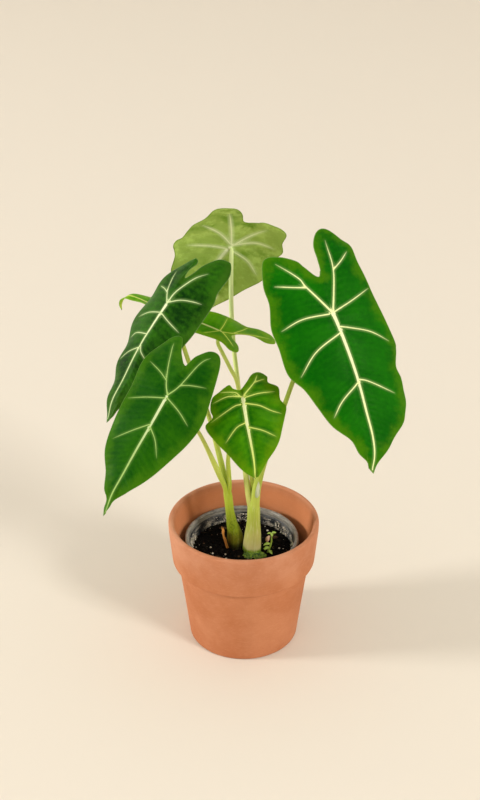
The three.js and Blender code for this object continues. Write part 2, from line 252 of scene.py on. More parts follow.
def soft_light(name, place, size, power):
    lamp = bpy.data.lights.new(name, "AREA")
    lamp.size = size
    lamp.energy = power
    lamp.color = WINDOW_COLOUR
    made = bpy.data.objects.new(name, lamp)
    made.location = place
    made.rotation_euler = (LIT_POINT - Vector(place)).to_track_quat("-Z", "Y").to_euler()
    bpy.context.collection.objects.link(made)


backdrop()
for name, (place, size, power) in WINDOWS.items():
    soft_light(name, place, size, power)
world = bpy.data.worlds.new("room")
world.use_nodes = True
background = world.node_tree.nodes["Background"]
background.inputs[0].default_value = WORLD_COLOUR
background.inputs[1].default_value = WORLD_STRENGTH
bpy.context.scene.world = world
print("lights:", list(WINDOWS))

# %% [markdown]
# ## The clay pot
#
# A clay pot is pressed in a spinning mould: a slightly tapered body, a deep collar that steps
# out, and a rounded lip. It could be stacked from cones and rings, but it is really one profile
# turned about its axis, so its profile is drawn as a chain of edges with round corners and spun.
# The drain holes are bored through the floor afterwards. The fired clay is matt and mottled,
# dusty on the outside of the collar, and has fine lines round it from the turning. Inside the
# mouth it is painted warmer and lighter, as painted light for the light thrown from wall to wall.


# %% Clay pot shape
_, CLAY_RIM, CLAY_FOOT, CLAY_TOP = size_of("terracotta_pot")
CLAY_INNER_RIM = CLAY_RIM - 5
COLLAR_FOOT, COLLAR_FOOT_RADIUS = 84.0, 66.8
BODY_TOP_RADIUS, BASE_RADIUS, FLOOR_TOP, FLOOR_RADIUS = 61.4, 51.5, 8.0, 44.0
FOOT_ROUND, FLOOR_ROUND = 2.5, 5  # radii of the corners at the foot outside and at the floor inside
DRAIN_HOLES, DRAIN_RADIUS, DRAIN_CIRCLE = 3, 5.5, 22.0
PLUG_LENGTH = 30  # of the plugs that bore both pots' holes, centred on the clay pot's underside


def clay_profile():
    lip = (CLAY_RIM - CLAY_INNER_RIM) / 2
    foot = [(0, CLAY_FOOT), (12, CLAY_FOOT), (30, CLAY_FOOT),
            *arc(BASE_RADIUS - FOOT_ROUND, CLAY_FOOT + FOOT_ROUND, FOOT_ROUND, -90, -8)]
    body = [(54.6, 28), (57.9, 54), (BODY_TOP_RADIUS - 0.3, COLLAR_FOOT - 6)]
    # a small hollow where the body meets the collar, then the collar's rounded lower edge
    step = [*arc(BODY_TOP_RADIUS + 1.2, COLLAR_FOOT - 2.4, 1.3, 175, 95, 4),
            *arc(COLLAR_FOOT_RADIUS - 1.9, COLLAR_FOOT + 0.8, 1.9, -80, 0, 5)]
    collar = [(68.0, 97), (69.2, 109), (CLAY_RIM - 0.15, CLAY_TOP - 9),
              *arc(CLAY_RIM - lip, CLAY_TOP - lip, lip, 0, 180, 12)]
    inside = [(62.4, 107), (60.2, 94), (58.6, COLLAR_FOOT), (53.0, 50),
              *arc(FLOOR_RADIUS - 1, FLOOR_TOP + FLOOR_ROUND, FLOOR_ROUND, 0, -90, 4),
              (20, FLOOR_TOP), (0, FLOOR_TOP)]
    return foot + body + step + collar + inside


# %% Clay finish
def clay_material():
    clay, tree, bsdf = material("clay", roughness=0.86, specular_ior_level=0.25)
    broad = object_noise(tree, 24, detail=5)
    streak = object_noise(tree, 230, detail=8, roughness=0.65, stretch=(1, 1, 2.6))
    grain = object_noise(tree, 1100, detail=3)
    base = mix(tree, ramp(tree, broad, 0.32, 0.68), rgb(0.455, 0.160, 0.066), rgb(0.53, 0.212, 0.102))
    base = mix(tree, times(tree, ramp(tree, streak, 0.46, 0.74), 0.20), base, rgb(0.66, 0.32, 0.18))
    base = mix(tree, times(tree, ramp(tree, grain, 0.58, 0.72), 0.3), base, rgb(0.33, 0.11, 0.05))

    place = object_place(tree)
    height = add(tree, "ShaderNodeSeparateXYZ", {0: place}).outputs[2]
    level = add(tree, "ShaderNodeVectorMath", {0: place, 1: (1, 1, 0)}, operation="MULTIPLY").outputs[0]
    radius = add(tree, "ShaderNodeVectorMath", {0: level}, operation="LENGTH").outputs["Value"]
    outside = ramp(tree, radius, 0.0635, 0.0660)
    # pale dust on the collar, most of it near the lip
    dust = times(tree, times(tree, ramp(tree, height, 0.083, 0.122), outside), ramp(tree, broad, 0.1, 0.9))
    base = mix(tree, times(tree, dust, 0.42), base, rgb(0.68, 0.39, 0.28))
    # a warmer, lighter tone inside the mouth: painted light, standing in for the light thrown from wall to
    # wall
    mouth_painted_glow = minus(tree, ramp(tree, height, 0.086, 0.094), outside, clamp=True)
    base = mix(tree, times(tree, mouth_painted_glow, 0.5), base, rgb(0.78, 0.29, 0.12))
    tree.links.new(base, bsdf.inputs["Base Color"])

    lines = object_noise(tree, 12, detail=9, roughness=0.8, stretch=(0.3, 0.3, 40))
    first = bump(tree, bsdf, lines, 0.10, 0.0005)
    bump(tree, bsdf, grain, 0.25, 0.0003, first)
    return clay


def bore_holes(piece, count, radius, circle, centre=(0, 0)):
    """Takes a ring of upright plugs out of a finished piece's floor, and keeps the result as its mesh."""
    bm = bmesh.new()
    for angle in np.arange(count) / count * 2 * math.pi:
        place = Vector((centre[0] + circle * math.cos(angle), centre[1] + circle * math.sin(angle), 0))
        bmesh.ops.create_cone(bm, cap_ends=True, segments=32, radius1=radius * MM, radius2=radius * MM,
                              depth=PLUG_LENGTH * MM, matrix=Matrix.Translation(place * MM))
    plugs = object_from("plugs", bm, smooth=False)
    cut = piece.modifiers.new("holes", "BOOLEAN")
    cut.operation, cut.solver, cut.object = "DIFFERENCE", "EXACT", plugs
    bored = bpy.data.meshes.new_from_object(
        piece.evaluated_get(bpy.context.evaluated_depsgraph_get()))
    piece.modifiers.clear()
    bm = bmesh.new()
    bm.from_mesh(bored)
    bmesh.ops.remove_doubles(bm, verts=bm.verts, dist=2e-6)
    bmesh.ops.dissolve_degenerate(bm, edges=bm.edges, dist=1e-7)
    bm.to_mesh(bored)
    bm.free()
    piece.data = bored
    bpy.data.objects.remove(plugs)


clay_pot = finish_piece("clay_pot", turned(clay_profile()), clay_material(),
                        ["terracotta_pot"])
bore_holes(clay_pot, DRAIN_HOLES, DRAIN_RADIUS, DRAIN_CIRCLE)

# %% [markdown]
# ## The nursery pot
#
# The inner pot is thin dark plastic, moulded in one go, with a stiff rolled rim and a small
# ledge inside it. It is spun from one closed profile like the clay pot, so that its wall
# has its true thickness all the way down. Years on a bench leave the rim scratched and grey, and
# its rolled top also gets a painted sheen, lighter grey streaks where light catches it. Peat and
# lime dry to a broken pale crust on the wall just above the soil.

# %% Nursery pot
NURSERY_CENTRE, NURSERY_RIM, NURSERY_FOOT, NURSERY_TOP = size_of("nursery_pot")
NURSERY_INNER_RIM, RIM_DEPTH, WALL = 49.4, 5.5, 1.1
WALL_TOP_RADIUS, WALL_FOOT_RADIUS = 48.4, 36.6
NURSERY_HOLES, NURSERY_HOLE_RADIUS, NURSERY_HOLE_CIRCLE = 6, 4.0, 25.0


def nursery_profile():
    ledge = NURSERY_TOP - RIM_DEPTH
    return [
        (0, NURSERY_FOOT), (25, NURSERY_FOOT),
        *arc(WALL_FOOT_RADIUS + WALL - 1.5, NURSERY_FOOT + 1.5, 1.5, -90, -8, 4),
        (WALL_TOP_RADIUS + WALL - 0.2, ledge - 1.2), (WALL_TOP_RADIUS + WALL + 0.4, ledge - 0.2),
        (NURSERY_RIM - 0.8, ledge), (NURSERY_RIM - 0.1, ledge + 0.6),
        *arc(NURSERY_RIM - 1.5, NURSERY_TOP - 1.5, 1.5, 0, 90, 6),
        *arc(NURSERY_RIM - 2.4, NURSERY_TOP - 0.9, 0.9, 90, 130, 3),
        *arc(NURSERY_INNER_RIM + 1.0, NURSERY_TOP - 1.4, 1.0, 90, 180, 5),
        (NURSERY_INNER_RIM - 0.1, ledge + 0.8), (NURSERY_INNER_RIM - 0.5, ledge - 0.2),
        (WALL_TOP_RADIUS + 0.1, ledge - 0.8), (WALL_TOP_RADIUS, ledge - 3),
        (45.2, 76), (WALL_FOOT_RADIUS, NURSERY_FOOT + WALL + 0.4),
        (WALL_FOOT_RADIUS - 0.6, NURSERY_FOOT + WALL), (0, NURSERY_FOOT + WALL),
    ]


def nursery_material():
    plastic, tree, bsdf = material("nursery_plastic", roughness=0.45)
    film = object_noise(tree, 60, detail=8, roughness=0.7)
    specks = object_noise(tree, 420, detail=5, roughness=0.7)
    scratch = object_noise(tree, 80, detail=8, roughness=0.8, stretch=(1, 1, 7))
    height = object_height(tree)
    base = mix(tree, ramp(tree, film, 0.44, 0.62), rgb(0.010, 0.014, 0.020), rgb(0.11, 0.115, 0.115))
    base = mix(tree, ramp(tree, scratch, 0.56, 0.70), base, rgb(0.36, 0.35, 0.33))
    # the rim is painted lighter grey in streaks: partly real scratched wear, partly a painted sheen of the
    # light on its rolled top
    rim = mix(tree, ramp(tree, scratch, 0.35, 0.65), rgb(0.11, 0.105, 0.095), rgb(0.36, 0.34, 0.30))
    rim_wear_and_sheen_mask = ramp(tree, height, (NURSERY_TOP - RIM_DEPTH - 0.1) * MM, (NURSERY_TOP - RIM_DEPTH + 1.1) * MM)
    base = mix(tree, rim_wear_and_sheen_mask, base, rim)
    base = mix(tree, ramp(tree, specks, 0.62, 0.68), base, rgb(0.42, 0.36, 0.28))
    crust = object_noise(tree, 95, detail=9, roughness=0.78, stretch=(1, 1, 2))
    under_rim = ramp(tree, height, (NURSERY_TOP - RIM_DEPTH) * MM, (NURSERY_TOP - RIM_DEPTH - 3.5) * MM)
    crust = times(tree, ramp(tree, crust, 0.50, 0.57), under_rim)
    crust_colour = mix(tree, ramp(tree, specks, 0.4, 0.6), rgb(0.28, 0.25, 0.21), rgb(0.70, 0.64, 0.54))
    base = mix(tree, crust, base, crust_colour)
    tree.links.new(base, bsdf.inputs["Base Color"])
    tree.links.new(spread(tree, film, 0.22, 0.55), bsdf.inputs["Roughness"])
    bump(tree, bsdf, specks, 0.3, 0.0004)
    return plastic


nursery = finish_piece(
    "nursery_pot_skin", turned(nursery_profile(), (NURSERY_CENTRE.x, NURSERY_CENTRE.y)),
    nursery_material(), ["nursery_pot"])
bore_holes(nursery, NURSERY_HOLES, NURSERY_HOLE_RADIUS, NURSERY_HOLE_CIRCLE, NURSERY_CENTRE)

# %% [markdown]
# ## Soil
#
# Potting soil is dark moist peat broken into crumbs, with a few brown fibres and pale grains on
# top. Thousands of loose grains could make all of it, but only the top shows, so the body is one
# spun block whose top is pushed up and down by noise of three sizes. The biggest crumbs are
# loose lumps, scattered over it with a fixed seed so that they fall the same way each time. The
# same lumps, pale and stuck in clumps along the wall, are the dried crust.

# %% Soil body
SOIL_CENTRE, SOIL_RADIUS, SOIL_FOOT, SOIL_TOP = size_of("potting_soil")


def soil_height(x, y):
    """Height of the soil in millimetres, above its CAD top, at a point in millimetres."""
    rise = 0.0
    for scale, size in ((0.045, 1.3), (0.16, 1.0), (0.42, 0.9)):
        rise += size * noise.noise(Vector((x * scale, y * scale, scale * 40)))
    edge = math.hypot(x - SOIL_CENTRE.x, y - SOIL_CENTRE.y) / SOIL_RADIUS
    return rise - 0.4 - 2.2 * max(0.0, edge - 0.72) / 0.28


def soil_body():
    rings, foot_radius = 64, WALL_FOOT_RADIUS - 1
    line = [((SOIL_RADIUS - 0.3) * i / rings, SOIL_TOP) for i in range(rings + 1)]
    line += [(SOIL_RADIUS - 0.4, SOIL_TOP - 6), (foot_radius, SOIL_FOOT), (0, SOIL_FOOT)]
    bm = turned(line, (SOIL_CENTRE.x, SOIL_CENTRE.y), steps=220)
    for vert in bm.verts:
        if vert.co.z > (SOIL_TOP - 1) * MM:
            vert.co.z += soil_height(vert.co.x / MM, vert.co.y / MM) * MM
    return bm


def soil_material():
    soil, tree, bsdf = material("peat", roughness=0.95, specular_ior_level=0.08)
    lumps = object_noise(tree, 260, detail=8, roughness=0.75)
    bits = object_noise(tree, 520, detail=3)
    base = mix(tree, ramp(tree, lumps, 0.35, 0.75), rgb(0.0008, 0.0006, 0.0005),
               rgb(0.007, 0.0045, 0.003))
    base = mix(tree, ramp(tree, bits, 0.70, 0.74), base, rgb(0.06, 0.035, 0.02))
    tree.links.new(base, bsdf.inputs["Base Color"])
    bump(tree, bsdf, lumps, 0.9, 0.0014)
    return soil


finish_piece("soil", soil_body(), soil_material(), ["potting_soil"])


# %% Crumbs, fibres and pale grit
def scatter(count, seed, keep_out=8.0):
    """Random places on the soil in millimetres, clear of the stems."""
    random.seed(seed)
    feet = [Vector(((a.x + b.x) / 2, (a.y + b.y) / 2)) / MM
            for a, b in map(node_box, ("stem_left", "stem_right"))]
    places = []
    while len(places) < count:
        reach = (SOIL_RADIUS - 1.5) * math.sqrt(random.random())
        angle = random.uniform(0, 2 * math.pi)
        spot = Vector((SOIL_CENTRE.x + reach * math.cos(angle), SOIL_CENTRE.y + reach * math.sin(angle)))
        if all((spot - foot).length > keep_out for foot in feet):
            places.append(spot)
    return places


def grains(places, low, high, seed, flat=0.7, climb=0.0):
    """Small broken lumps from low to high across in millimetres, most of them small. Each is a ball
    that is squashed, turned and made uneven. Climb is how far up some of them are lifted."""
    random.seed(seed)
    bm = bmesh.new()
    for spot in places:
        size = low + (high - low) * random.random() ** 2.4
        squash = Matrix.Diagonal((random.uniform(0.7, 1.3), random.uniform(0.6, 1.0), flat, 1))
        turn = Matrix.Rotation(random.uniform(0, 6.28), 4, "Z")
        turn = turn @ Matrix.Rotation(random.uniform(-0.5, 0.5), 4, "X")
        lift = SOIL_TOP + soil_height(spot.x, spot.y) + size * flat * 0.25 + climb * random.random() ** 2
        place = Matrix.Translation(Vector((spot.x, spot.y, lift)) * MM)
        made = bmesh.ops.create_icosphere(bm, subdivisions=1, radius=size * MM / 2,
                                          matrix=place @ turn @ squash)
        shift = random.uniform(0, 100)
        for vert in made["verts"]:
            away = vert.co - place.translation
            vert.co += away * 0.55 * noise.noise(away / (size * MM) * 2.4 + Vector((shift, 0, 0)))
    return bm


def plain_grain_material(name, dark, light, roughness=0.9):
    made, tree, bsdf = material(name, roughness=roughness, specular_ior_level=0.1)
    patches = object_noise(tree, 420, detail=5, roughness=0.65)
    base = mix(tree, ramp(tree, patches, 0.35, 0.65), dark, light)
    tree.links.new(base, bsdf.inputs["Base Color"])
    bump(tree, bsdf, patches, 0.6, 0.0005)
    return made


perlite = plain_grain_material("perlite", rgb(0.38, 0.31, 0.22), rgb(0.72, 0.66, 0.55))
bark = plain_grain_material("bark", rgb(0.022, 0.012, 0.007), rgb(0.085, 0.045, 0.022))
crumb = plain_grain_material("crumb", rgb(0.001, 0.0008, 0.0006), rgb(0.009, 0.006, 0.004))
finish_piece("soil_crumbs", grains(scatter(620, 11), 1.0, 4.6, 12), crumb, [], smooth=False)
finish_piece("pale_grit", grains(scatter(60, 21), 0.4, 1.5, 22), perlite, [], smooth=False)
finish_piece("brown_bits", grains(scatter(90, 31), 0.7, 3.2, 32, flat=0.4), bark, [], smooth=False)


def wall_ring(count, seed):
    """Places where dried crumbs stick in clumps to the pot's wall just above the soil."""
    random.seed(seed)
    places = []
    while len(places) < count:
        angle, reach = random.uniform(0, 2 * math.pi), SOIL_RADIUS + 0.5 - 2.0 * random.random() ** 2
        around = Vector((math.cos(angle), math.sin(angle), 0.3))
        clump = noise.noise(around * 2.6) + 0.7 * noise.noise(around * 9)
        if clump > random.uniform(-0.2, 0.45):
            places.append(Vector((SOIL_CENTRE.x + reach * math.cos(angle),
                                  SOIL_CENTRE.y + reach * math.sin(angle))))
    return places


dried = plain_grain_material("dried_crumb", rgb(0.30, 0.26, 0.20), rgb(0.84, 0.77, 0.66))
finish_piece("wall_crumbs", grains(wall_ring(1300, 41), 0.25, 2.3, 42, climb=8.5), dried, [],
             smooth=False)


def ball_in(node):
    """A ball that fills a CAD node's box, with the box's centre and half its size."""
    low, high = node_box(node)
    centre, half = (low + high) / 2, (high - low) / 2
    bm = bmesh.new()
    bmesh.ops.create_icosphere(bm, subdivisions=3, radius=1.0,
                               matrix=Matrix.Translation(centre) @ Matrix.Diagonal((*half, 1)))
    return bm, centre, half


def named_lumps(prefix, count, finish):
    """The loose bits that the frame names, each in its own place and size."""
    for i in range(1, count + 1):
        name = f"{prefix}_{i}"
        bm, centre, half = ball_in(name)
        for vert in bm.verts:
            away = vert.co - centre
            pits = noise.noise(away / half.x * 1.7 + Vector((i * 9, 0, 0)))
            pits += 0.5 * noise.noise(away / half.x * 4.5 + Vector((0, i * 9, 0)))
            vert.co = centre + away * (1 + 0.28 * pits)
        finish_piece(f"{name}_lump", bm, finish, [name])


named_lumps("perlite", 6, perlite)
named_lumps("bark_chip", 3, bark)

# %% [markdown]
# ## Stems and petioles
#
# A stalk is a round, fleshy bar that tapers and bends. A curve with a round bevel could draw it,
# but then its thickness, its lap and its colour bands would be hard to steer. So a flat grid is
# rolled into a tube along a smooth curve through a few points, welded along its seam and capped,
# and each point keeps its share of the length for the colour bands. Older petioles wrap younger
# ones in the stem, so its skin has a lap: the radius grows slowly round it and then drops back.


# %% Smooth lines and tubes
def smooth_line(points, steps):
    """A curve through all the points, with the same number of steps between each pair."""
    p = np.array(points, float)
    p = np.vstack([2 * p[0] - p[1], p, 2 * p[-1] - p[-2]])
    line = []
    for a, b, c, d in zip(p, p[1:], p[2:], p[3:]):
        for t in np.arange(steps) / steps:
            line.append(0.5 * (2 * b + (c - a) * t + (2 * a - 5 * b + 4 * c - d) * t * t
                               + (3 * b - a - 3 * c + d) * t ** 3))
    return np.array(line + [p[-2]])


def even_steps(line, count):
    """The same curve cut into equal lengths."""
    gaps = np.linalg.norm(np.diff(line, axis=0), axis=1)
    length = np.concatenate([[0], np.cumsum(gaps)])
    where = np.linspace(0, length[-1], count + 1)
    return np.stack([np.interp(where, length, line[:, k]) for k in range(3)], axis=1)


def tube(route, radii, sides=28, steps=110, lap=0.0, wobble=0.02, domed=0.0):
    """A tapered stalk along a route in millimetres. Its attribute along runs from 0 to 1. Radii are
    spread evenly over its length, and domed is the share of the length that rounds off its top."""
    centre = even_steps(smooth_line(route, 12), steps)
    ahead = np.gradient(centre, axis=0)
    ahead /= np.linalg.norm(ahead, axis=1)[:, None]
    share = np.linspace(0, 1, steps + 1)
    radius = np.interp(share, np.linspace(0, 1, len(radii)), radii)
    radius = np.convolve(np.pad(radius, 6, mode="edge"), np.ones(13) / 13, mode="valid")
    if domed:
        radius *= np.sqrt(1 - np.clip((share - 1 + domed) / domed, 0, 0.995) ** 2)
    across = np.cross(ahead, (0, 1, 0))
    across /= np.linalg.norm(across, axis=1)[:, None]
    deep = np.cross(ahead, across)
    bm = bmesh.new()
    bmesh.ops.create_grid(bm, x_segments=sides, y_segments=steps, size=0.5)
    along = bm.verts.layers.float.new("along")
    for vert in bm.verts:
        row = round((vert.co.y + 0.5) * steps)
        part = vert.co.x + 0.5
        angle = part * 2 * math.pi
        bulge = radius[row] * (1 + lap * (part % 1.0) + wobble * math.sin(3 * angle + row * 0.06))
        point = centre[row] + bulge * (math.cos(angle) * across[row] + math.sin(angle) * deep[row])
        vert[along] = row / steps
        vert.co = Vector(point) * MM
    bmesh.ops.remove_doubles(bm, verts=bm.verts, dist=2e-6)
    rims = [e for e in bm.edges if e.is_boundary]
    bmesh.ops.holes_fill(bm, edges=rims, sides=0)
    return bm


# %% Stalk finish
def stalk_material(name, bands, streaks=0.35, streak_colour=rgb(0.58, 0.66, 0.30), freckles=0.0):
    """Stalk skin with fine streaks along it. Bands give its colour at shares of its length."""
    made, tree, bsdf = material(name, roughness=0.42, specular_ior_level=0.25)
    along = attribute(tree, "along")
    blotch = object_noise(tree, 170, detail=6, roughness=0.65)
    streak = object_noise(tree, 900, detail=3, stretch=(1, 1, 0.05))
    shift = times(tree, minus(tree, blotch, 0.5), 0.10)
    place = plus(tree, along, shift)
    base = bands[0][1]
    for (low, _), (high, colour) in zip(bands, bands[1:]):
        base = mix(tree, ramp(tree, place, low, high), base, colour)
    lighter = times(tree, ramp(tree, streak, 0.48, 0.75), streaks)
    base = mix(tree, lighter, base, streak_colour)
    if freckles:
        spots = ramp(tree, object_noise(tree, 800, detail=3), 0.52, 0.62)
        low_down = times(tree, ramp(tree, along, 0.85, 0.45), freckles)
        base = mix(tree, times(tree, spots, low_down), base, rgb(0.045, 0.10, 0.003))
    tree.links.new(base, bsdf.inputs["Base Color"])
    bump(tree, bsdf, streak, 0.2, 0.0003)
    return made


STEMS = {
    "left": {
        "route": [(-7, 2, 72), (-7.2, 1.6, 93), (-8, 1.2, 106), (-10.6, 0.6, 118), (-12.6, 0, 131),
                  (-14, -0.8, 146), (-15.6, -1.8, 162)],
        "radii": [4.5, 7.4, 7.4, 5.1, 3.9, 3.8, 4.6]},
    "right": {
        "route": [(7.4, -7, 68), (7.9, -7, 88), (8, -7, 98), (8.5, -7, 110), (9, -7, 124),
                  (9.2, -7, 140), (9, -6.6, 154)],
        "radii": [5, 8.2, 8.3, 7.4, 5.9, 5.6, 5.9]},
}
PETIOLES = {
    "back": {
        "route": [(6.6, -6.6, 140), (4.4, -6.6, 154), (2.2, -0.6, 171), (-1, 10, 203), (-5, 27, 250),
                  (-8.6, 42, 277), (-11, 60, 306), (-11.5, 67, 334), (-11.2, 68, 358), (-11, 69.2, 367.6)],
        "radii": [2.8, 2.5, 2.1, 2.0, 2.1, 2.0]},
    "middle": {
        "route": [(9.2, -3.8, 140), (8.8, -2.2, 154), (7.4, -3, 171), (2, -1, 209), (-5, 8, 259),
                  (-12, 11, 276), (-19, 14.5, 290), (-23, 17, 299), (-20, 19.6, 306.4)],
        "radii": [2.6, 2.1, 1.9, 1.9, 1.8, 1.6]},
    "right": {
        "route": [(10.2, -7.8, 140), (11.4, -8.4, 160), (13.2, -8.8, 171), (16, -9.8, 184),
                  (22, -12, 206), (36, -20, 258), (43, -24, 284), (53, -30, 317), (66, -34.5, 344),
                  (72.7, -44.2, 355.4)],
        "radii": [4.2, 4.0, 2.9, 2.4, 2.1, 2.0, 2.0, 1.9, 1.9]},
    "left": {
        "route": [(-14.4, -0.4, 150), (-16.6, 0.2, 162), (-20, 1, 182), (-25, 2, 205), (-32, 4, 234),
                  (-48, 10, 281), (-53, 9, 299), (-60, 2, 326), (-65.5, -1.4, 344.4)],
        "radii": [3.2, 2.8, 2.2, 2.0, 2.0, 1.9, 1.8]},
    "front_left": {
        "route": [(-15, -2.4, 150), (-17.4, -4.2, 163), (-21, -7, 174), (-29, -15, 200),
                  (-38, -28, 230), (-48, -45, 258), (-57, -63, 283), (-62.8, -77.2, 296.3)],
        "radii": [2.1, 2.7, 1.9, 1.7, 1.7, 1.6]},
    "young": {
        "route": [(-13.6, -2, 150), (-13, -4.2, 164), (-13.6, -6, 178), (-14, -12, 197), (-12, -24, 228),
                  (-8, -40, 260), (-4, -51, 276), (-1.1, -59.2, 285.4)],
        "radii": [2.0, 2.3, 1.6, 1.5, 1.4, 1.4]},
}

left_skin = stalk_material("left_stem_skin", [
    (0.0, rgb(0.010, 0.007, 0.003)), (0.27, rgb(0.014, 0.009, 0.003)), (0.36, rgb(0.16, 0.15, 0.008)),
    (0.50, rgb(0.23, 0.31, 0.012)), (0.85, rgb(0.42, 0.54, 0.05))], streaks=0.14, freckles=0.6)
right_skin = stalk_material("right_stem_skin", [
    (0.0, rgb(0.03, 0.06, 0.004)), (0.29, rgb(0.05, 0.11, 0.006)), (0.335, rgb(0.20, 0.32, 0.012)),
    (0.38, rgb(0.60, 0.55, 0.22)), (0.50, rgb(0.53, 0.53, 0.15)), (0.68, rgb(0.42, 0.50, 0.08)),
    (0.95, rgb(0.43, 0.54, 0.075))],
    streaks=0.5, streak_colour=rgb(0.68, 0.70, 0.34))
for name, finish, taper in (("left", left_skin, 0.17), ("right", right_skin, 0.20)):
    shape = tube(STEMS[name]["route"], STEMS[name]["radii"], sides=48, lap=0.07, domed=taper)
    finish_piece(f"{name}_stem", shape, finish, [f"stem_{name}"])

PETIOLE_BANDS = {
    "back": [(0.0, rgb(0.55, 0.58, 0.15)), (0.3, rgb(0.66, 0.74, 0.22)), (1.0, rgb(0.76, 0.88, 0.44))],
    # the middle petiole: its dark foot is painted shade, where it hides between the other stalks, and its
    # light upper part is painted light, lighter than its own green, where it hangs in the leaves' shadow
    "middle": [(0.0, rgb(0.28, 0.36, 0.012)), (0.3, rgb(0.70, 0.80, 0.16)), (1.0, rgb(0.80, 0.88, 0.26))],
    "right": [(0.0, rgb(0.50, 0.60, 0.10)), (0.3, rgb(0.38, 0.52, 0.055)), (1.0, rgb(0.26, 0.36, 0.02))],
    "left": [(0.0, rgb(0.42, 0.54, 0.05)), (0.3, rgb(0.44, 0.54, 0.08)), (1.0, rgb(0.42, 0.50, 0.07))],
    "front_left": [(0.0, rgb(0.42, 0.54, 0.05)), (0.3, rgb(0.52, 0.60, 0.11)),
                   (1.0, rgb(0.58, 0.62, 0.17))],
    "young": [(0.0, rgb(0.40, 0.52, 0.04)), (0.3, rgb(0.47, 0.60, 0.08)), (1.0, rgb(0.50, 0.62, 0.11))],
}
for name, shape in PETIOLES.items():
    finish = stalk_material(f"{name}_petiole_skin", PETIOLE_BANDS[name])
    finish_piece(f"{name}_petiole", tube(shape["route"], shape["radii"], domed=0.022), finish,
                 [f"petiole_{name}"])

# %% [markdown]
# ## Leaf blades
#
# An alocasia blade is a thin arrow-shaped sheet that hangs from the end of its stalk, with pale
# raised veins and a blade that swells between them. It could be sculpted as it hangs, but it
# grows flat and then bends, so it is made that way. Its outline is drawn flat, cut into small
# cells, and given a second skin below. Then every point is carried onto a bent surface: the
# midrib is an arc, and the two halves fold and curl away from it. The veins are lines in the
# flat leaf. How far each point is from the nearest vein sets both the shape, a valley with a low
# ridge in it above and a rib below, and the colour, so the two always agree.
#
# heading is the way the tip points in plan and drop how far below the horizontal, roll turns the
# blade about its midrib, arch and back bend it in front of and behind the stalk, and fold and
# curl bend its left and right halves, all in degrees. A hook bends the tip further. rib and side
# thicken the midrib and the side veins. Outline and veins are in millimetres, (along, across).

